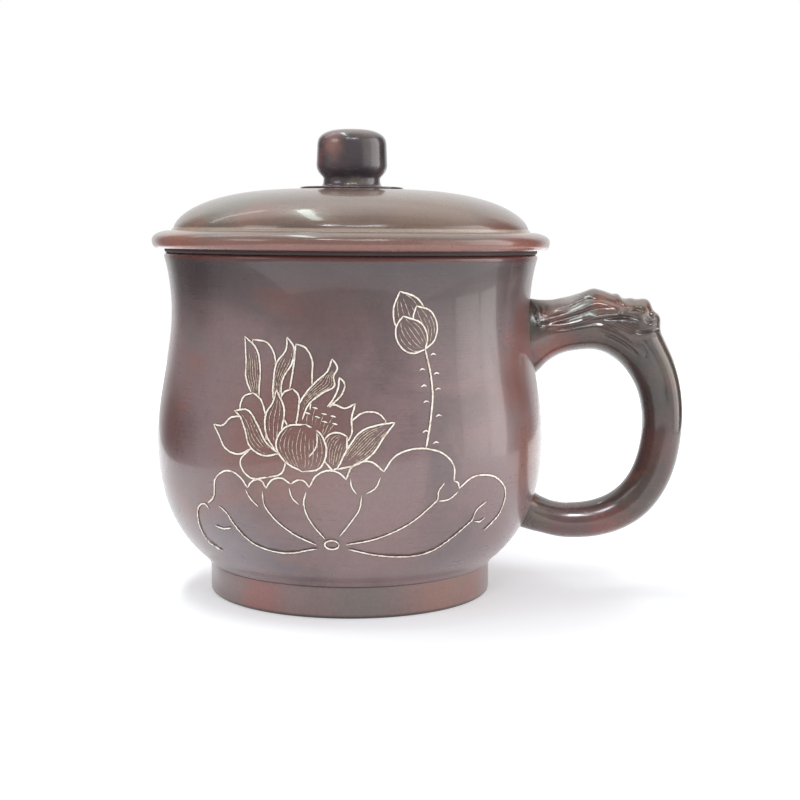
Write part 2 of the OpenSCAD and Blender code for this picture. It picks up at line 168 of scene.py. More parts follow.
    sand = add(tree, "Bump", None, {
        "Height": grain.outputs["Fac"], "Strength": 0.3, "Distance": 0.014 * MM})
    tree.links.new(sand.outputs["Normal"], shader.inputs["Coat Normal"])
    rings = add(tree, "Bump", None, {
        "Height": turning.outputs["Fac"], "Strength": 0.5, "Distance": ring_depth_mm * MM,
        "Normal": sand.outputs["Normal"]})
    tree.links.new(rings.outputs["Normal"], shader.inputs["Normal"])
    shader.inputs["IOR"].default_value = 1.5
    shader.inputs["Coat Weight"].default_value = gloss
    if unpolished:
        *at, reach = unpolished
        gap = add(tree, "VectorMath", {"operation": "DISTANCE"}, {
            0: place, 1: tuple(c * MM for c in at)})
        waxed = add(tree, "MapRange", {"interpolation_type": "SMOOTHSTEP"}, {
            "Value": gap.outputs["Value"], "From Min": 0.75 * reach * MM,
            "From Max": reach * MM, "To Max": gloss})
        tree.links.new(waxed.outputs["Result"], shader.inputs["Coat Weight"])
    shader.inputs["Coat Roughness"].default_value = wax_blur
    shader.inputs["Coat IOR"].default_value = 1.45
    return material


def corners_of(node):
    """The corner points of a CAD node, in metres."""
    return np.array([v.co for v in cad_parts[node].data.vertices])


SAME_PLACE = 0.001 * MM  # outline points nearer than this are one point
STRAIGHT = 0.002         # sine of the smallest turn that counts as a bend

def outline_of(node):
    """The turned outline of a CAD node as [radius, height] points, in metres, and whether
    it closes on itself. It starts and ends on the axis where the solid reaches it."""
    keys = [(round(float(np.hypot(x, y)), 7), round(float(z), 7))
            for x, y, z in corners_of(node)]
    seats, found = {}, []
    for key in sorted(set(keys)):
        seats[key] = next((f for f in found if math.dist(f, key) < SAME_PLACE), key)
        if seats[key] is key:
            found.append(key)
    joined = {}
    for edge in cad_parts[node].data.edges:
        a, b = (seats[keys[i]] for i in edge.vertices)
        if a != b:
            joined.setdefault(a, set()).add(b)
            joined.setdefault(b, set()).add(a)
    ends = sorted(k for k, others in joined.items() if len(others) == 1)
    start = ends[0] if ends else min(joined)
    chain = [start]
    while onward := sorted(k for k in joined[chain[-1]] if k not in chain):
        chain.append(onward[0])
    if ends:
        chain = [(0.0, chain[0][1])] + chain + [(0.0, chain[-1][1])]
        chain = [p for i, p in enumerate(chain) if i == 0 or p != chain[i - 1]]
    chain = np.array(chain)
    arriving, leaving = chain - np.roll(chain, 1, 0), np.roll(chain, -1, 0) - chain
    turn = np.cross(arriving, leaving) / np.prod(np.linalg.norm([arriving, leaving], axis=2), 0)
    bends = np.abs(turn) > STRAIGHT
    if ends:
        bends[[0, -1]] = True
    return chain[bends], not ends


TINY = 1e-12             # keeps a line without length from dividing by nought
LONG_LEG = 3             # a leg this many times its neighbour's length stays straight

def smooth_line(points, spacing, closed=False, corner=40):
    """A smooth line through points, sampled about every spacing. Turns sharper than the
    corner angle stay sharp, and a long leg beside a short one stays straight."""
    p = np.asarray(points, float)
    leg = np.roll(p, -1, 0) - p
    length = np.maximum(np.linalg.norm(leg, axis=1), TINY)
    way = leg / length[:, None]
    before, before_length = np.roll(way, 1, 0), np.roll(length, 1)
    slope = way * before_length[:, None] + before * length[:, None]
    slope = np.where((length > LONG_LEG * before_length)[:, None], way, slope)
    slope = np.where((before_length > LONG_LEG * length)[:, None], before, slope)
    slope /= np.maximum(np.linalg.norm(slope, axis=1), TINY)[:, None]
    sharp = ((way * before).sum(1) < math.cos(math.radians(corner)))[:, None]
    leaving = np.where(sharp, way, slope)
    arriving = np.where(sharp, before, slope)
    if not closed:
        leaving[0], arriving[-1] = way[0], before[-1]
    line = []
    for i in range(len(p) - (not closed)):
        j = (i + 1) % len(p)
        steps = max(1, round(length[i] / spacing))
        t = (np.arange(steps) / steps)[:, None]
        line.append((2 * t**3 - 3 * t**2 + 1) * p[i] + (3 * t**2 - 2 * t**3) * p[j]
                    + length[i] * ((t**3 - 2 * t**2 + t) * leaving[i]
                                   + (t**3 - t**2) * arriving[j]))
    if not closed:
        line.append(p[-1:])
    return np.vstack(line)


def placed(name, data):
    """A new object in the scene that shows the data."""
    made = bpy.data.objects.new(name, data)
    bpy.context.scene.collection.objects.link(made)
    return made


def piece_from(name, points, faces, material, body, replaced=None, corner=35):
    """Makes a smooth-shaded piece that rides on a CAD body."""
    mesh = bpy.data.meshes.new(name)
    mesh.from_pydata([tuple(p) for p in points], [], faces)
    mesh.materials.append(material)
    mesh.shade_smooth()
    mesh.set_sharp_from_angle(angle=math.radians(corner))
    piece = placed(name, mesh)
    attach(piece, body)
    if replaced:
        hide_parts(replaced)
    return piece


ON_AXIS = 1e-7           # a radius below this is a point on the axis, in metres

def turned(node, material, body, around=288, spacing=0.8 * MM, corner=40):
    """Spins a CAD node's outline into a fine piece that takes the node's place, and gives
    the smoothed outline."""
    outline, ring = outline_of(node)
    line = smooth_line(outline, spacing, ring, corner)
    line = np.clip(line, outline.min(0), outline.max(0))
    area = np.sum(line[:, 0] * np.roll(line[:, 1], -1) - np.roll(line[:, 0], -1) * line[:, 1])
    if area < 0:
        line = line[::-1]
    angles = np.arange(around) * 2 * math.pi / around
    points, rows = [], []
    for r, z in line:
        if r < ON_AXIS:
            rows.append([len(points)] * around)
            points.append((0.0, 0.0, z))
        else:
            rows.append(list(range(len(points), len(points) + around)))
            points += [(r * math.cos(a), r * math.sin(a), z) for a in angles]
    if ring:
        rows.append(rows[0])
    faces = []
    for low, high in zip(rows, rows[1:]):
        for i in range(around):
            j = (i + 1) % around
            face = [low[i], low[j], high[j], high[i]]
            faces.append([v for k, v in enumerate(face) if v != face[k - 1]])
    faces = [f for f in faces if len(f) > 2]
    piece_from(node + ".turned", points, faces, material, body, node)
    return line


# The bowl shines softly: clouded plum and grey-brown, with broad dim lights. The dark band
# round the top and the dark flush high on the left are painted shade; the light flush low
# on the front is a painted reflection of the white table.
bowl_clay = burnished_stoneware(
    "stoneware, burnished and waxed", umber="#6b5b5d", plum="#806a6b", rust="#8b6058",
    bronze="#746c69", roughness=0.30, gloss=0.5, wax_blur=0.06, ring_depth_mm=0.006,
    flushes=[(-14, -48, 44, 26, "#865a50", 0.7), (-4, -46, 76, 18, "#6c4d4a", 0.5),
             (-45, -22, 43, 18, "#5a3330", 0.8), (4, -49, 25, 26, "#8d7271", 0.6),
             (28, -37, 78, 20, "#5c5253", 0.6), (-28, -36, 16, 20, "#7d7479", 0.6),
             (28, -36, 14, 16, "#6f666a", 0.5), (44, -16, 68, 13, "#6f433c", 0.8),
             (-38, -26, 84, 20, "#3a3133", 0.5), (42, -24, 55, 12, "#744840", 0.8),
             (44, -21, 38, 14, "#7d5045", 0.85)],
    # The first band, dark round the top, is painted shade; the second is the rim's redder clay.
    bands=[(92, 26, "#2e2527", 0.75), (87.5, 2.0, "#713f3a", 0.8)])
bowl_line = turned("mug_bowl", bowl_clay, "mug")


# ---- Foot ring ----------------------------------------------------------------------
# The foot ring is coiled, luted under the bowl with slip and turned true. It is burnished
# less than the bowl, so the turning tool's level scratches and the redder clay show.

# Turned and hardly burnished: duller and redder, with fine level scratches. The
# near-black band along the standing edge is a painted contact shadow.
foot_clay = burnished_stoneware(
    "stoneware, turned and waxed", umber="#7b6765", plum="#856d6b", rust="#93655a",
    bronze="#787168", roughness=0.36, gloss=0.3, ring_mm=0.6, ring_depth_mm=0.02,
    rust_share=0.6, wax_blur=0.09,
    flushes=[(23, -28, 4, 12, "#8f6a60", 0.8), (-21, -30, 3, 10, "#97605a", 0.7),
             (5, -36, 4, 11, "#716b65", 0.7), (-36, -8, 4, 12, "#7d7073", 0.7)],
    bands=[(0, 1.1, "#1f191a", 0.95)])
turned("foot_ring", foot_clay, "mug")


# ---- Incised lotus ------------------------------------------------------------------
# An open lotus, its scalloped leaf and a bud on a prickly stem: the old pond ornament of
# such pots. It is cut through the burnish with a bamboo point, and pale slip is rubbed
# into the cuts, which fire cream. A fine dark line painted along each side of a cut is
# painted shade, standing in for the shade in the groove.

SLIP_LINE = 0.4          # width of an outline, in millimetres
SLIP_HATCH = 0.18        # width of a hatch line
GROOVE_SHADE_WIDTH = 0.13       # width of the painted groove shade on each side
PANEL_R = 50.0           # the drawing's across measure runs round this radius
SLIP_PROUD = 0.03        # how far the slip's edges stand proud of the bowl
SLIP_DIP = 0.022         # and its middle, which sinks a little as it dries
GROOVE_SHADE_PROUD = 0.008       # and the outside of the painted groove shade
PEN_STEP = 0.3           # distance between the points of a drawn line
PEN_SHAKE = 0.025        # how far the hand strays at each point
SIDE_POINTS = 60         # points along each side of a petal

cut = random.Random(7)

# A petal is its two sides from base to tip, as (across, height) in millimetres, and the
# number of hatch lines between them. The nearest petal comes first.
PETALS = [
    ([(-9.5, 38), (-14, 40.5), (-16, 44), (-14, 48), (-9, 49)],
     [(-9.5, 38), (-5.5, 39), (-4, 42.5), (-5.5, 47), (-9, 49)], 11),
    ([(-1.5, 38.8), (1.5, 44.5), (4, 47.5), (8.2, 49), (12, 49.5)],
     [(-1.5, 38.8), (3.2, 40), (6.5, 42.2), (9.2, 46), (12, 49.5)], 9),
    ([(-2.5, 38.5), (-4.5, 41), (-4.8, 44.5), (-3, 47), (-1.2, 47.2), (0.8, 46.4)],
     [(-2.5, 38.5), (-0.2, 40), (0.6, 43), (0.8, 46.4)], 8),
    ([(-5.5, 46), (-4.5, 51), (-2.7, 53.5), (0.4, 52.8), (2.7, 53.9)],
     [(0, 44), (1.8, 47), (1.8, 50.5), (2.7, 53.9)], 0),
    ([(0, 44), (2, 50), (5, 51.9), (8.2, 51.5), (9.9, 49.8)],
     [(0, 44), (6, 46), (9.9, 49.8)], 0),
    ([(-15.3, 42), (-19, 41.3), (-22.8, 43.3), (-24.4, 47.2), (-26.2, 50.2), (-27.8, 51.2)],
     [(-15.3, 42), (-18.5, 44.4), (-21, 48.4), (-24, 51.6), (-27.8, 51.2)], 4),
    ([(-22, 43), (-26, 41.2), (-30, 42.4), (-32, 45.2), (-34, 47.6)],
     [(-22, 43), (-24.5, 49.5), (-28.5, 49.6), (-31.2, 47.5), (-34, 47.6)], 0),
    ([(-18, 36.3), (-23, 36), (-25.4, 39.2), (-22.3, 43)],
     [(-18, 36.3), (-14.5, 37.6), (-13.8, 40.5), (-15, 42.5), (-22.3, 43)], 0),
    ([(-16, 42.5), (-18.6, 46.5), (-18.9, 51), (-17.4, 53.6), (-16.6, 56.6)],
     [(-16, 42.5), (-14.7, 48), (-14.3, 52), (-16.6, 56.6)], 3),
    ([(-20, 45), (-26.2, 51), (-25.4, 54.6), (-22.8, 55.6)],
     [(-18.5, 45), (-19.3, 51.5), (-20.8, 54.4), (-22.8, 55.6)], 0),
    ([(-13, 48), (-15.5, 53), (-14.7, 56), (-12.5, 57)],
     [(-11.4, 48), (-10.8, 52.5), (-11, 55.6), (-12.5, 57)], 0),
    ([(-21, 46), (-23.3, 55.5), (-25.1, 58.5), (-25.8, 63.5), (-26.6, 68.6)],
     [(-19, 48), (-21.2, 56), (-21.4, 61), (-22.8, 65.6), (-26.6, 68.6)], 5),
    ([(-16.5, 50), (-17.6, 58), (-17, 62.8), (-14.7, 66), (-14.6, 68.8)],
     [(-14, 50), (-15.2, 59), (-12.9, 63.2), (-12.7, 66.4), (-14.6, 68.8)], 4),
    ([(-12, 50), (-9.6, 55.5), (-6.5, 59), (-4.2, 61), (-3, 64)],
     [(-9.8, 50), (-8.6, 53.2), (-5, 56.3), (-2.3, 58), (-2.6, 59.8), (-1.7, 62), (-3, 64)], 5),
    ([(-8, 50), (-4, 53), (-1.4, 57.5), (-1.2, 59.8)],
     [(-5.5, 47.5), (-5.8, 50), (-3.5, 53), (-0.3, 56.4), (0.1, 58.4), (-1.2, 59.8)], 0),
    ([(-21, 50), (-23, 60), (-24.2, 67.9)],
     [(-17, 50), (-17.3, 60), (-17.7, 64.4), (-19.8, 67.2), (-24.2, 67.9)], 0),
    ([(-14, 52), (-12.6, 62), (-12.2, 67.2)],
     [(-8, 52), (-7.8, 60), (-8.1, 64), (-9.6, 66.3), (-12.2, 67.2)], 0)]

BUD = [
    ([(20.5, 66), (16.5, 65.2), (13, 68.5), (13, 71.5), (14.8, 73.8)],
     [(20.5, 66), (21.2, 68.8), (20.2, 71.4), (14.8, 73.8)], 6),
    ([(20.5, 66), (19, 70), (17.4, 73.4), (18.2, 76.1)],
     [(20.5, 66), (23.2, 68.2), (24, 71.4), (22.3, 74.7), (18.2, 76.1)], 5),
    ([(17, 67), (12.8, 71.5), (12.2, 75.3), (13.7, 79.5)],
     [(20, 68), (20.8, 74.6), (18.4, 77.8), (13.7, 79.5)], 5)]

LEAF_EDGE = [
    [(-37.5, 15.6), (-42.6, 18.4), (-42.8, 23.2), (-40.6, 27), (-38, 27.8), (-36.8, 26.8)],
    [(-36.8, 28.2), (-34.5, 30), (-33.2, 34.6), (-29, 37), (-25.6, 35.8), (-23.6, 33.4)],
    [(-23.6, 33.4), (-22, 35.2), (-20, 35.5), (-18.6, 33.6)],
    [(-18.6, 33.6), (-17.2, 35.6), (-14.8, 36.3), (-12.3, 35)],
    [(-12.3, 35), (-11, 35.9), (-9.3, 35.9), (-8, 34.4)],
    [(-8, 34.4), (-6.3, 37.2), (-3.2, 38.5), (-0.8, 37.8), (0.6, 36.4)],
    [(0.6, 36.4), (1.8, 39.2), (6, 40.6), (9.3, 38.2)],
    [(9.3, 38.2), (11.8, 41.6), (16, 43.2), (20.5, 43), (24.2, 41.6), (26.8, 38.6), (27, 35)],
    [(27, 35), (28, 34.7), (28.6, 33.2)],
    [(28.6, 33.2), (32, 35.4), (36.5, 35.7), (41.5, 34), (44.8, 30.6), (44.2, 25.6), (39.5, 21.5)]]

LEAF_VEINS = [
    [(-6.8, 19.2), (-17, 17.6), (-25.2, 19.8), (-29.4, 24.2), (-30.8, 26.4), (-33, 28)],
    [(-30.2, 22.8), (-33, 22.2), (-36, 22.6)],
    [(-7, 20.2), (-13.2, 23.2), (-18, 27.4), (-19.4, 29.6), (-19.6, 32.8)],
    [(-21, 29), (-23, 30.8), (-24.2, 32.9)],
    [(-4.6, 21.8), (-7.4, 25.2), (-9.1, 28.6), (-9.4, 30.6), (-8.8, 33.2)],
    [(-10.6, 30.2), (-12.2, 31.8), (-12.8, 34)],
    [(-1, 22.6), (1.6, 26), (3.8, 29.6), (4.2, 32.6)],
    [(3, 33), (1.9, 34.6), (1.6, 36.6)],
    [(5.3, 33), (7.4, 34.4), (8.5, 36.8)],
    [(0.6, 20.4), (9, 22.2), (16.4, 25.6), (22.6, 30.6), (23, 33), (24.4, 34.8)],
    [(23.2, 30.5), (25.8, 30.7), (28.4, 32.4)],
    [(1.2, 19.2), (9.6, 17.4), (23, 17.6), (33.4, 24.2), (34.9, 27.2), (37.8, 29)],
    [(34.9, 24.3), (37, 24.1), (38.3, 24.9)]]

STEM = [(20.5, 66), (21.5, 61), (21.8, 56), (21, 50.5), (19.4, 43.2)]
PRICKLES = [(22.6, 64.7), (19.4, 61.3), (23.2, 60.3), (19.6, 57.5), (23.3, 56.7),
            (20, 53.9), (23, 50.6), (19.5, 47.1), (22, 44.4)]
STAMENS = [((-8.6, 49), (-8.5, 51.5)), ((-7.4, 49), (-6.8, 52.7)), ((-6.6, 48.8), (-6.2, 50.7)),
           ((-5.6, 48.4), (-4.6, 51.4)), ((-4.8, 46.6), (-4.4, 49.6)), ((-4.6, 46.6), (-2.5, 50.9)),
           ((-3.8, 47), (-2.1, 49.2))]


def inside(p, shape):
    """Whether each point of p lies inside a closed shape."""
    x, y = p[:, :1], p[:, 1:]
    a, b = shape, np.roll(shape, -1, 0)
    crosses = (a[:, 1] > y) != (b[:, 1] > y)
    rise = np.where(b[:, 1] == a[:, 1], TINY, b[:, 1] - a[:, 1])
    return (crosses & (x < a[:, 0] + (y - a[:, 1]) * (b[:, 0] - a[:, 0]) / rise)).sum(1) % 2 == 1


def resampled(line, count):
    """The same line with count points spaced evenly along it."""
    walk = np.concatenate([[0], np.cumsum(np.linalg.norm(np.diff(line, axis=0), axis=1))])
    want = np.linspace(0, walk[-1], count)
    return np.stack([np.interp(want, walk, line[:, k]) for k in (0, 1)], 1)


# Where the stamens stand, no petal is drawn behind them.
STAMEN_ROOM = np.array([(-5.2 + 3.5 * math.cos(a), 50.4 + 2.8 * math.sin(a))
                        for a in np.linspace(0, 2 * math.pi, 24, endpoint=False)])

strokes = []             # (line, width, shapes that hide it)

def draw(points, width, hidden_by=(), smooth=True):
    """Cuts a line, with the small strays of the hand."""
    line = smooth_line(points, PEN_STEP, corner=100) if smooth else np.asarray(points, float)
    line = line + np.array([[cut.gauss(0, PEN_SHAKE), cut.gauss(0, PEN_SHAKE)] for _ in line])
    strokes.append((line, width, list(hidden_by)))


def draw_petals(petals, hiding):
    """Draws petals from the nearest back, each hidden where a nearer one covers it, with
    hatch lines that start and stop where the hand happened to."""
    for left, right, hatches in petals:
        sides = [resampled(smooth_line(side, PEN_STEP, corner=100), SIDE_POINTS)
                 for side in (left, right)]
        for side in sides:
            draw(side, SLIP_LINE, hiding, smooth=False)
        for k in range(hatches):
            share = (k + 1) / (hatches + 1)
            start = int(SIDE_POINTS * cut.uniform(0.14, 0.34))
            end = int(SIDE_POINTS * cut.uniform(0.64, 0.90))
            line = sides[0] * (1 - share) + sides[1] * share
            draw(line[start:end], SLIP_HATCH, hiding, smooth=False)
        hiding.append(np.vstack([sides[0], sides[1][::-1]]))


flower = [STAMEN_ROOM]
draw_petals(PETALS, flower)
draw_petals(BUD, [])
draw([(-6.2, 47), (-6.2, 44.4), (-8, 41.4)], SLIP_LINE * 0.8)
for lobe in LEAF_EDGE:
    draw(lobe, SLIP_LINE)
for vein in LEAF_VEINS:
    draw(vein, SLIP_LINE * 0.8)
draw(STEM, SLIP_LINE * 1.1)
draw([(-3 + 1.8 * math.cos(a), 20.35 + 1.15 * math.sin(a))
      for a in np.linspace(0.2, 0.2 + 2 * math.pi, 19)], SLIP_LINE)
for x, z in PRICKLES:
    draw([(x - 0.75, z - 0.15), (x, z + 0.25), (x + 0.75, z)], SLIP_LINE * 1.1)
for foot, head in STAMENS:
    draw([foot, ((foot[0] + head[0]) / 2 - 0.15, (foot[1] + head[1]) / 2), head],
         SLIP_HATCH, flower[1:2])
    draw([(head[0] - 0.6, head[1] + 0.15), (head[0], head[1] + 0.05),
          (head[0] + 0.6, head[1] - 0.15)], SLIP_LINE * 1.3, flower[1:2])

# The bowl's outer radius at each height of the drawing, from its turned outline.
FOOT_TOP = 8.4 * MM
WINDOW = 0.9 * MM
outside = bowl_line[bowl_line[:, 1] > FOOT_TOP]
heights = np.arange(9, 87, 0.25)
bowl_radius = [outside[np.abs(outside[:, 1] - z * MM) < WINDOW, 0].max() / MM for z in heights]


def on_bowl(across, height, proud):
    """A point of the drawing, in metres, standing proud of the burnished surface."""
    r = (np.interp(height, heights, bowl_radius) + proud) * MM
    turn = across / PANEL_R
    return np.stack([r * np.sin(turn), -r * np.cos(turn), height * MM], -1)


SHORTEST = 4             # a run with fewer points than this isn't cut
TAPER_POINTS = 3         # a run narrows over this many points at each end
SLIP, GROOVE_SHADE_SLOT, THIN = 0, 1, 2

points, faces, face_slots = [], [], []
for line, width, hidden_by in strokes:
    seen = ~np.any([inside(line, shape) for shape in hidden_by], axis=0) if hidden_by \
        else np.ones(len(line), bool)
    runs = np.split(np.arange(len(line)), np.flatnonzero(np.diff(seen.astype(int))) + 1)
    for run in runs:
        if not seen[run[0]] or len(run) < SHORTEST:
            continue
        part = line[run]
        along = np.gradient(part, axis=0)
        across = np.stack([-along[:, 1], along[:, 0]], 1)
        across /= np.maximum(np.linalg.norm(across, axis=1), TINY)[:, None]
        n = len(part)
        ends = np.minimum(np.arange(n), np.arange(n)[::-1]) / TAPER_POINTS
        taper = np.clip(0.35 + 0.65 * ends, 0, 1)
        half = 0.5 * width * taper * np.array([cut.uniform(0.86, 1.14) for _ in part])
        start = len(points)
        # the dark strips along both sides of each line are painted groove shade
        edge = GROOVE_SHADE_WIDTH if width > SLIP_HATCH else 0.4 * GROOVE_SHADE_WIDTH
        for side, extra, proud in ((-1, edge, GROOVE_SHADE_PROUD), (-1, 0, SLIP_PROUD), (0, 0, SLIP_DIP),
                                   (1, 0, SLIP_PROUD), (1, edge, GROOVE_SHADE_PROUD)):
            row = part + across * (side * (half + extra * taper))[:, None]
            points += [tuple(p) for p in on_bowl(row[:, 0], row[:, 1], proud)]
        for strip, filling in enumerate((GROOVE_SHADE_SLOT, None, None, GROOVE_SHADE_SLOT)):
            if filling is None:
                filling = THIN if width <= SLIP_HATCH else SLIP
            for a in range(start + strip * n, start + strip * n + n - 1):
                faces.append((a, a + n, a + n + 1, a + 1))
                face_slots.append(filling)


def cut_line(name, stain_mm, stops, roughness, crumb_mm):
    """The matt filling of a cut, or the painted shade along its edges: its colour and its crumbs
    come from one noise.
    """
    material, tree, shader = new_material(name)
    stain = add(tree, "TexNoise", None, {
        "Vector": add(tree, "TexCoord").outputs["Object"], "Scale": 1 / (stain_mm * MM),
        "Detail": 3.0})
    stained = add(tree, "ValToRGB", {"stops": stops}, {"Fac": stain.outputs["Fac"]})
    tree.links.new(stained.outputs["Color"], shader.inputs["Base Color"])
    crumbs = add(tree, "Bump", None, {
        "Height": stain.outputs["Fac"], "Strength": 0.5, "Distance": crumb_mm * MM})
    tree.links.new(crumbs.outputs["Normal"], shader.inputs["Normal"])
    shader.inputs["Roughness"].default_value = roughness
    return material


# Pale slip, rubbed in and fired: chalky, and stained in places by the clay under it.
slip = cut_line("cream slip, rubbed in and fired", 1.1,
                [(0.32, "#d2bfae"), (0.46, "#f4eadc"), (0.7, "#fffaf2")], 0.75, 0.02)
# A dark matt line along each side of a cut is painted shade, standing in for the shade in the
# groove.
painted_groove_shade = cut_line("painted shade along the cuts", 0.6,
                    [(0.35, "#3f2e2a"), (0.65, "#5a4039")], 0.6, 0.01)
# A hatch line is only a scratch: little slip stays in it, so it stays tan and broken.
thin_slip = cut_line("thin slip in a scratch", 0.7,
                     [(0.36, "#8f786a"), (0.52, "#c8b2a0"), (0.68, "#e2d2c0")], 0.7, 0.01)

lotus = piece_from("lotus.incised", points, faces, slip, "mug", corner=80)
lotus.data.materials.append(painted_groove_shade)
lotus.data.materials.append(thin_slip)
for face, which in zip(lotus.data.polygons, face_slots):
    face.material_index = which


# ---- Dragon handle ------------------------------------------------------------------
# A pulled loop of clay whose shoulder is built up into a dragon's head that looks away
# from the bowl. Horn, locks, brow, whisker and jaw are cut with a bamboo knife on both
# cheeks alike and rubbed with an agate until their edges shine.

# The loop's middle line, as four curves of (x, z) in millimetres: arm, shoulder, grip, root.
MIDDLE_LINE = [
    [(45.4, 66.7), (50.6, 67.4), (58.05, 70.7), (64, 70.7)],
    [(64, 70.7), (71.7, 70.7), (81.4, 62.07), (81.4, 44.68)],
    [(81.4, 44.68), (81.4, 30.15), (75.6, 17.6), (57.6, 17.6)],
    [(57.6, 17.6), (54.47, 17.6), (48.71, 19.4), (45.58, 21.3)]]
GRIP_T = 10.7            # thickness of the grip, from outer to inner edge
GRIP_W = 11.4            # width of the grip, from cheek to cheek
HEAD_W = 16.4            # width of the head
HEAD_END = 1.62          # place along the loop where the carving has faded out
AROUND = 256             # points round each section

# How far the section swells beyond the grip's: place along the loop (0 to 4), then the
# outer edge, the inner edge and each cheek, in millimetres.
SWELL = np.array([
    (0, 3.9, 5.8, 2.4), (0.1, 3.9, 4.4, 1.9), (0.2, 3.7, 2.9, 1.6), (0.3, 2.9, 2, 1.4),
    (0.4, 2.3, 1.6, 1.3), (0.5, 1.8, 1.5, 1.5), (0.7, 1.7, 1.9, 1.9), (0.9, 2.2, 2.3, 2.2),
    (1.05, 1.9, 2.6, 2.3), (1.2, 1.4, 2.6, 2.4), (1.35, 1.2, 2.4, 2.4), (1.45, 0.9, 2.1, 2.1),
    (1.6, 0.1, 1.5, 1.3), (1.7, 0.1, 1, 0.8), (1.8, 0.1, 0.4, 0.4), (2, 0.1, -0.3, 0),
    (2.6, -0.2, -0.3, 0), (3, -1, -0.5, -0.5), (3.5, -0.9, -0.9, -0.3), (3.8, -0.4, -0.7, 0.3),
    (4, 0.2, -0.4, 0.9)])

# Horn, tuft, back and front of the crown, and nose, along the top: place, length, height.
CREST = [(0.97, 0.085, 0.75), (1.13, 0.024, 0.55), (1.222, 0.03, 0.6), (1.315, 0.068, 3),
         (1.427, 0.05, 1.95)]

# The carving, as (x, z) points on the cheek. Each cut stands up by a height, falls away
# over one width on its upper side and over another, mostly narrower, on its lower side.
CARVING = [
    (0.45, 1.7, 0.8, [(50.5, 73.3), (55.5, 75.2), (61.5, 77.4), (66.5, 76.9)]),       # horn
    (-0.5, 0.35, 0.5, [(52.5, 72.9), (55.7, 73.9), (61.3, 76.2), (65.3, 75.9)]),
    (0.45, 1.0, 0.8, [(49.6, 70.7), (53.7, 72.2), (57.3, 73.4), (61.3, 75.1),         # lock
                      (63.6, 75.8), (65.2, 75.3), (67.4, 74.6), (69.9, 74.9)]),
    (-0.5, 0.4, 0.6, [(51, 70.2), (55.3, 71.4), (58.8, 72.5), (62.6, 73.8), (64.6, 74)]),
    (0.4, 0.9, 0.5, [(51, 69.2), (56.3, 69.8), (58.4, 70.4), (60.9, 71.2), (63.2, 71.5),
                     (65.2, 71.1), (67.6, 71)]),
    (-0.4, 0.35, 0.6, [(51, 68.4), (55, 68.9), (59.5, 69.8), (63.3, 70.4), (67, 70)]),
    (0.7, 0.9, 0.5, [(60.5, 71.5), (64.2, 72.3), (67, 72.5), (70.8, 72.9), (73.9, 72.3)]),
    (-0.5, 0.3, 0.6, [(61.5, 70.9), (65, 71.4), (70, 71.9), (73.8, 71.3)]),           # whisker
    (0.5, 0.4, 0.4, [(68.3, 72.6), (68.9, 73), (69.3, 73.7)]),
    (-0.5, 0.5, 0.5, [(61.8, 77.4), (64.8, 76.3), (67.6, 75.3), (70.9, 74.2)]),
    (0.4, 0.8, 0.4, [(63.8, 78.3), (66.8, 77.4), (69.3, 76), (71, 74.4)]),            # tuft
    (0.35, 0.6, 0.4, [(66.4, 78.1), (68.7, 77), (70.4, 75.5), (71.4, 74.3)]),
    (0.6, 1.3, 0.45, [(70.2, 73.9), (71.8, 74.7), (73.4, 74.6), (75.9, 74.1), (77, 73.4)]),
    (-0.5, 0.3, 0.6, [(70.8, 73.3), (73, 73.8), (75.2, 73.2)]),                       # brow
    (-0.6, 0.5, 0.5, [(75.4, 71.7), (76.4, 71), (77.9, 70.9), (79, 71.4)]),           # socket
    (0.5, 0.8, 0.5, [(76.8, 69.6), (78, 70.2), (79.4, 69.9)]),                        # nostril
    (-0.7, 0.35, 0.35, [(73.2, 68.2), (75.8, 68.1), (77.4, 68.6), (79, 68.4), (80.6, 68.6)]),
    (0.45, 0.6, 0.5, [(72.6, 67.5), (75.8, 67.3), (78.3, 67.6), (80.2, 67.3)]),       # lip
    (0.35, 0.7, 0.35, [(63.4, 68.7), (65.8, 68), (67.6, 67.3), (69.7, 66.1), (71.5, 65),
                       (73.3, 63.5), (74.2, 62.3)]),                                  # jaw
    (-0.5, 0.3, 0.6, [(63.8, 68.1), (67.3, 66.8), (71.1, 64.6), (73.7, 62.1)]),
    (-0.3, 0.4, 0.6, [(72, 65.9), (74.2, 64.9), (75.6, 63), (76.3, 60.6)]),
    (0.25, 0.4, 0.4, [(47.1, 74.6), (48, 73.4), (47.5, 72.2), (47.9, 71)]),            # curls
    (0.25, 0.4, 0.4, [(48.7, 70.8), (48, 69.9), (48.8, 69), (50, 69.3)]),
    (0.2, 0.4, 0.4, [(48.2, 74.4), (49.3, 73.6), (49, 72.6), (50.2, 72.2)])]


def curve(corners, t):
    """Points on the curve of four corners at each t, and its direction there."""
    a, b, c, d = np.asarray(corners, float)
    t = np.asarray(t, float)[:, None]
    at = (1 - t)**3 * a + 3 * (1 - t)**2 * t * b + 3 * (1 - t) * t**2 * c + t**3 * d
    way = (1 - t)**2 * (b - a) + 2 * (1 - t) * t * (c - b) + t**2 * (d - c)
    return at, way / np.linalg.norm(way, axis=1)[:, None]


CUT_REACH = 4            # millimetres from a cut beyond which it isn't felt
SCALES_AT, SCALES_SIZE, SCALES_UP = (69.6, 69.6), (4.2, 1.3), 0.05

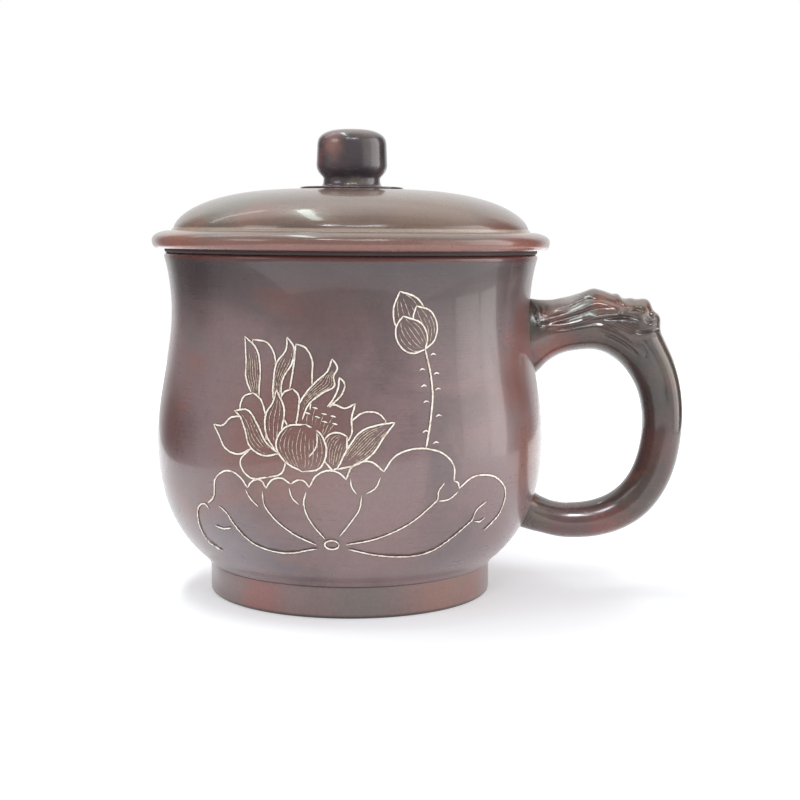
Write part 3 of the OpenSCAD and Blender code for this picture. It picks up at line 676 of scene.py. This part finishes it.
def carved(p):
    """How far the carving stands up at each (x, z) point p on a cheek."""
    relief = np.zeros(len(p))
    for height, above, below, corners in CARVING:
        line = smooth_line(corners, 0.35, corner=100)
        near = (np.abs(p - np.clip(p, line.min(0), line.max(0))) < CUT_REACH).all(1)
        near = np.flatnonzero(near)
        a, leg = line[:-1], np.diff(line, axis=0)
        gap = p[near, None] - a
        share = np.clip((gap * leg).sum(2) / (leg**2).sum(1), 0, 1)
        off = gap - share[..., None] * leg
        reach = np.linalg.norm(off, axis=2)
        best = reach.argmin(1)
        rows = np.arange(len(near))
        over = (leg[best, 0] * off[rows, best, 1] - leg[best, 1] * off[rows, best, 0]) > 0
        along = (best + share[rows, best]) / len(leg)
        fade = np.clip(5 * np.minimum(along, 1 - along), 0, 1)
        width = np.where(over, above, below)
        relief[near] += (0.25 + 0.75 * fade) * height * np.exp(-(reach[rows, best] / width)**2)
    scales = np.clip(1 - np.abs((p - SCALES_AT) / SCALES_SIZE).max(1)**4, 0, 1)
    pebbles = np.cos(6.2 * p[:, 0] + 3 * p[:, 1]) * np.cos(6.6 * p[:, 1] - 2 * p[:, 0])
    return relief + SCALES_UP * scales * pebbles


places = np.concatenate([np.arange(0, 1, 0.0115), np.arange(1, 1.64, 0.0062),
                         np.arange(1.64, 3, 0.021), np.linspace(3, 4, 34)])
segment = np.minimum(places.astype(int), 3)
rings = [curve(MIDDLE_LINE[k], [u - k]) for u, k in zip(places, segment)]
middle = np.vstack([at for at, way in rings])
way = np.vstack([way for at, way in rings])
swell = sum(share * np.stack([np.interp(places + shift, SWELL[:, 0], SWELL[:, k])
                              for k in (1, 2, 3)], 1)
            for share, shift in ((0.25, -0.04), (0.5, 0), (0.25, 0.04)))
crest = sum(h * np.exp(-((places - at) / length)**2) for at, length, h in CREST)
cheek = np.interp(places, [1.4, 1.8], [HEAD_W / 2 - 2.4, GRIP_W / 2]) + swell[:, 2]
turn = np.arange(AROUND) * 2 * math.pi / AROUND
turn = turn + 0.24 * np.sin(2 * turn)    # closer together on the carved cheeks
points = []
for at, along, (out, into, _), top, side, u in zip(middle, way, swell, crest, cheek, places):
    thick = np.where(np.cos(turn) > 0, GRIP_T / 2 + out + top, GRIP_T / 2 + into)
    xz = at + (np.cos(turn) * thick)[:, None] * np.array([-along[1], along[0]])
    fade = np.clip((HEAD_END - u) / 0.06, 0, 1) * np.minimum(1, 1.4 * np.abs(np.sin(turn)))
    y = np.sin(turn) * side + np.sign(np.sin(turn)) * fade * carved(xz)
    points += [(x * MM, y * MM, z * MM) for (x, z), y in zip(xz, y)]
solid = corners_of("dragon_handle")
points = np.clip(points, solid.min(0), solid.max(0))
faces = [tuple(reversed(range(AROUND))), tuple(range(len(points) - AROUND, len(points)))]
for row in range(0, len(points) - AROUND, AROUND):
    for i in range(AROUND):
        a, b = row + i, row + (i + 1) % AROUND
        faces.append((a, b, b + AROUND, a + AROUND))

# The agate leaves the handle glossier than the bowl, and thin sharp lights run along the
# edges. Smoke has darkened it; the tuft flashed rust, and root and brow olive. The agate
# can't get in among the curls at the root, so they stay dull.
handle_clay = burnished_stoneware(
    "stoneware, carved and agate polished", umber="#473d3c", plum="#56463f", rust="#7b4a3d",
    bronze="#4c4e40", roughness=0.26, gloss=0.8, ring_mm=2.4, cloud_mm=9, ring_depth_mm=0.002,
    wax_blur=0.06, unpolished=(46, 0, 72, 10.5),
    flushes=[(65.5, -7, 77, 5, "#8a4c33", 0.8), (69, -6, 75.2, 3.5, "#7a4433", 0.7),
             (82, -4, 44, 24, "#322b29", 0.7), (80, -4, 38, 9, "#633a36", 0.6),
             (47, -7, 70, 5, "#42463d", 0.6), (74, -6, 75, 4, "#54452f", 0.8),
             (52, -6, 63.5, 8, "#85483e", 0.8), (50, -7, 67, 4, "#6d625e", 0.6),
             (74, -5, 62, 8, "#2d2f31", 0.6), (81, -3, 60, 7, "#49452f", 0.6),
             (57, -5, 17, 12, "#7b595a", 0.6), (66, -5, 17, 7, "#85504a", 0.7),
             # The last flush, pale on top of the upper arm, is a painted reflection of the white
             # backdrop.
             (50, -6, 20, 6, "#6f6358", 0.6), (53, -3, 76.5, 6, "#b8aca5", 0.85)])
piece_from("dragon_handle.carved", points, faces, handle_clay, "mug",
           "dragon_handle", corner=60)


# ---- Dragon eyes --------------------------------------------------------------------
# Two pellets of the same clay, rolled round in the palm, pressed into the sockets with a
# touch of slip and waxed with the head, so each shows one small bright light.

TILTS, SWINGS = 25, 36   # level rings from pole to pole, and points round each ring

points, faces = [], []
eye_corners = corners_of("dragon_eyes")
for side in (-1, 1):
    eye = eye_corners[eye_corners[:, 1] * side > 0]
    centre, radius = (eye.min(0) + eye.max(0)) / 2, np.ptp(eye[:, 2]) / 2
    rows = []
    for k, tilt in enumerate(np.linspace(-math.pi / 2, math.pi / 2, TILTS)):
        pole = k in (0, TILTS - 1)
        rows.append([len(points) + (0 if pole else i) for i in range(SWINGS)])
        for swing in np.arange(1 if pole else SWINGS) * 2 * math.pi / SWINGS:
            points.append(centre + radius * np.array((
                math.cos(tilt) * math.cos(swing), math.cos(tilt) * math.sin(swing),
                math.sin(tilt))))
    for low, high in zip(rows, rows[1:]):
        for i in range(SWINGS):
            face = [low[i - 1], low[i], high[i], high[i - 1]]
            faces.append([v for k, v in enumerate(face) if v != face[k - 1]])
piece_from("dragon_eyes.rolled", points, faces, handle_clay, "mug",
           "dragon_eyes", corner=60)


# ---- Lid ----------------------------------------------------------------------------
# The lid is thrown upside down and turned: a domed shell on a rounded lapping edge. It is
# burnished the longest, on the turning wheel, so it shines most and its marks run level.

# Lighter and browner than the bowl, with the sharpest lights. The warm flushes on the
# dome's front are a painted reflection, the light salmon flush on the flange's left is a
# painted highlight, and the pale band at the dome's foot is a painted highlight too.
lid_clay = burnished_stoneware(
    "stoneware, wheel burnished", umber="#6a5951", plum="#776258", rust="#7d5a4c",
    bronze="#706b5f", roughness=0.28, gloss=0.6, wax_blur=0.06, ring_mm=0.7, rust_share=0.4,
    flushes=[(-30, -28, 99, 22, "#68655b", 0.7), (-22, -38, 98, 12, "#866155", 0.6),
             (-44, -30, 89, 16, "#a8705f", 0.6), (44, -30, 90, 16, "#8d5347", 0.6),
             (20, -34, 99, 20, "#7b604d", 0.5)],
    bands=[(89, 3.4, "#8c5850", 0.7), (93.4, 0.6, "#cdbcae", 0.8)])
turned("lid_dome", lid_clay, "lid", spacing=0.4 * MM, corner=100)

# The knob is turned by itself and luted on. The near-black flush low on its front is a
# painted reflection of the dome, and the one on its right side is painted shade.
knob_clay = burnished_stoneware(
    "stoneware, smoke darkened and burnished, with painted shade", umber="#4b4347", plum="#564a4f", rust="#79504a",
    bronze="#5b554e", roughness=0.28, gloss=0.7, ring_mm=0.7, cloud_mm=12, rust_share=0.4,
    wax_blur=0.05,
    flushes=[(-6, -8, 115.5, 5.5, "#9b6e66", 0.8), (-8, -4, 111, 4, "#7a4a46", 0.7),
             (1, -5, 119.5, 5, "#6b574b", 0.7), (2, -9, 108.5, 5, "#3f3c43", 0.85),
             (9, -5, 113, 6, "#2a2529", 0.85), (0, -8, 105, 3, "#85796a", 0.7)])
turned("lid_knob", knob_clay, "lid", around=192, spacing=0.4 * MM)


# ---- Infuser and collar -------------------------------------------------------------
# The hanging infuser, with its pierced floor, and the lid's collar are the same clay,
# smoothed with a wet sponge and left unburnished: matt, sandy and even.

sponged = burnished_stoneware(
    "stoneware, sponged", umber="#3a2d2c", plum="#433433", rust="#4c3631", bronze="#403b39",
    roughness=0.62, gloss=0.0, ring_mm=1.4, ring_depth_mm=0.03, rust_share=0.4)
for node in ("infuser_cup", "lid_collar"):
    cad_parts[node].data.materials[0] = sponged


# ---- Studio -------------------------------------------------------------------------
# A white table that keeps the soft shadow, in a pale room: white behind the mug, dimmer
# behind the camera, with a pale wall on the right that ends at a dark doorway.

WHITE_ROOM = 0.6         # the world's strength for all but mirrored rays
TABLE_GLOW = 0.3         # the paper's own glow under the mug
EDGE_GLOW = 0.7          # and at the edge of the sheet

floor_mesh = bpy.data.meshes.new("floor")
floor_mesh.from_pydata([(-0.2, -0.3, 0), (0.3, -0.3, 0), (0.3, 0.7, 0), (-0.2, 0.7, 0)], [],
                       [(0, 1, 2, 3)])
# Matt paper: it glows more the farther out it lies, so its edge melts into the white.
table, tree, shader = new_material("white paper sheet")
away = add(tree, "VectorMath", {"operation": "LENGTH"}, {
    0: add(tree, "TexCoord").outputs["Object"]})
glow = add(tree, "MapRange", {"interpolation_type": "SMOOTHSTEP"}, {
    "Value": away.outputs["Value"], "From Min": 0.12, "From Max": 0.25,
    "To Min": TABLE_GLOW, "To Max": EDGE_GLOW})
shader.inputs["Base Color"].default_value = linear("#e8eaee")
shader.inputs["Roughness"].default_value = 0.9
shader.inputs["Specular IOR Level"].default_value = 0.0
shader.inputs["Emission Color"].default_value = (1, 1, 1, 1)
tree.links.new(glow.outputs["Result"], shader.inputs["Emission Strength"])
floor_mesh.materials.append(table)
placed("floor", floor_mesh)

# What the waxed clay mirrors, turn by turn from the left (-X) past the camera (-Y), the
# right (+X) and the back (+Y): dim room, pale wall, doorway, white backdrop. Overhead it
# mirrors a ceiling that is lighter at the back.
world = bpy.data.worlds.new("studio")
bpy.context.scene.world = world
world.use_nodes = True
tree = world.node_tree
background = tree.nodes["Background"]
path = add(tree, "LightPath")
facing = add(tree, "SeparateXYZ", None, {0: add(tree, "TexCoord").outputs["Generated"]})
compass = add(tree, "Math", {"operation": "ARCTAN2"}, {
    0: facing.outputs["Y"], 1: facing.outputs["X"]})
round_trip = add(tree, "MapRange", None, {
    "Value": compass.outputs["Value"], "From Min": -math.pi, "From Max": math.pi})
walls = add(tree, "ValToRGB", {"stops": [
    ((bearing + 180) / 360, shade) for bearing, shade in [
        (-180, "#a8a8a8"), (-168, "#c0c0c0"), (-150, "#a8a8a8"), (-50, "#a0a0a0"),
        (-3, "#f4f4f4"), (14, "#ffffff"), (16, "#484848"), (44, "#484848"), (58, "#f4f4f4"),
        (118, "#f4f4f4"), (134, "#707070"), (168, "#606060"), (180, "#a8a8a8")]]}, {
    "Fac": round_trip.outputs["Result"]})
high = add(tree, "MapRange", {"interpolation_type": "SMOOTHSTEP"}, {
    "Value": facing.outputs["Z"], "From Min": 0.4, "From Max": 0.8})
behind = add(tree, "MapRange", {"interpolation_type": "SMOOTHSTEP"}, {
    "Value": facing.outputs["Y"], "From Min": 0.05, "From Max": 0.25, "To Min": 0.45,
    "To Max": 1.25})
overhead = add(tree, "Math", {"operation": "MULTIPLY"}, {
    0: high.outputs["Result"], 1: behind.outputs["Result"]})
room = add(tree, "Math", {"operation": "MAXIMUM"}, {
    0: walls.outputs["Color"], 1: overhead.outputs["Value"]})
for_gloss = add(tree, "Mix", {"data_type": "FLOAT"}, {
    0: path.outputs["Is Glossy Ray"], 2: WHITE_ROOM, 3: room.outputs["Value"]})
for_camera = add(tree, "Math", {"operation": "MAXIMUM"}, {
    0: path.outputs["Is Camera Ray"], 1: path.outputs["Is Transmission Ray"]})
strength = add(tree, "Mix", {"data_type": "FLOAT"}, {
    0: for_camera.outputs["Value"], 2: for_gloss.outputs[0], 3: 1.0})
background.inputs["Color"].default_value = (1, 1, 1, 1)
tree.links.new(strength.outputs[0], background.inputs["Strength"])


def lamp(name, width, height, at, aim, watts, colour="#ffffff", mirrored=True, spin=0,
         beam=180):
    """A rectangular lamp at a place, turned towards a point and spun about that line by
    degrees, whose grid keeps it to a beam of so many degrees; places in metres."""
    data = bpy.data.lights.new(name, "AREA")
    data.shape = "RECTANGLE"
    data.size, data.size_y = width, height
    data.energy = watts
    data.color = linear(colour)[:3]
    data.spread = math.radians(beam)
    made = placed(name, data)
    made.location = at
    facing = (Vector(aim) - Vector(at)).to_track_quat("-Z", "Y").to_matrix()
    made.rotation_euler = (facing @ Matrix.Rotation(math.radians(spin), 3, "Z")).to_euler()
    made.visible_glossy = mirrored
    return made


# The ceiling lamp gives light only and hangs above the panel, whose mirror image is the
# streak on the dome. The window bar and the lamp over the camera draw the thin lights on
# the dome's edge, rim and knob.
lamp("ceiling", 0.12, 0.9, (-0.25, 0.22, 1.1), (-0.25, 0.22, 0), 3.6, mirrored=False)
lamp("ceiling panel", 0.07, 0.68, (-0.216, 0.1, 1.0), (-0.216, 0.1, 0), 1.6, "#eefff6")
lamp("window bar left", 0.6, 0.05, (-0.62, 0.44, 0.8), (0, 0, 0.1), 0.3, "#fff0ec", spin=-45)
lamp("window behind the camera", 0.4, 0.3, (-0.78, -0.45, 0.5), (0, 0, 0.08), 1.1)
lamp("lamp over the camera", 0.3, 0.06, (0.11, -0.85, 0.83), (0, 0, 0.05), 1.2, "#f2f8ff")
# Gridded spots that show only as the small sharp lights on the polished handle.
for name, size, at, aim, watts in (
        ("spot on the whisker", 0.08, (0.11, -0.21, 0.285), (0.066, -0.008, 0.073), 0.009),
        ("spot on the horn", 0.08, (-0.02, -0.2, 0.285), (0.06, -0.006, 0.076), 0.009),
        ("spot on the lower arm", 0.05, (0.08, -0.23, 0.288), (0.058, -0.005, 0.02), 0.004)):
    lamp(name, size, size, at, aim, watts, "#f2f8ff", beam=24).visible_diffuse = False
# Broad soft light from the left, and a pale wall on the right in three dimming panels.
lamp("soft window left", 1.0, 0.8, (-1.1, 0.35, 0.9), (0, 0, 0.05), 2.5, mirrored=False)
for bearing, width, watts in ((6, 0.28, 1.85), (-12, 0.35, 1.9), (-37, 0.5, 1.05)):
    turned_by = math.radians(bearing)
    lamp("pale wall right", width, 0.9, (math.cos(turned_by), math.sin(turned_by), 0.3),
         (0, 0, 0.05), watts, "#fff8f4")

# Half a pace back and a little above the rim, looking slightly down.
CAMERA_AT = (12.84 * MM, -390.7 * MM, 93.2 * MM)
LOOKS_DOWN, LEANS = 6.41, 0.43

camera_data = bpy.data.cameras.new("camera")
camera_data.sensor_width = 36
camera_data.lens = 67.54
camera = placed("camera", camera_data)
camera.matrix_world = (Matrix.Translation(CAMERA_AT)
                       @ Matrix.Rotation(math.radians(90 - LOOKS_DOWN), 4, "X")
                       @ Matrix.Rotation(math.radians(LEANS), 4, "Z"))
bpy.context.scene.camera = camera
bpy.context.scene.view_settings.view_transform = "Standard"
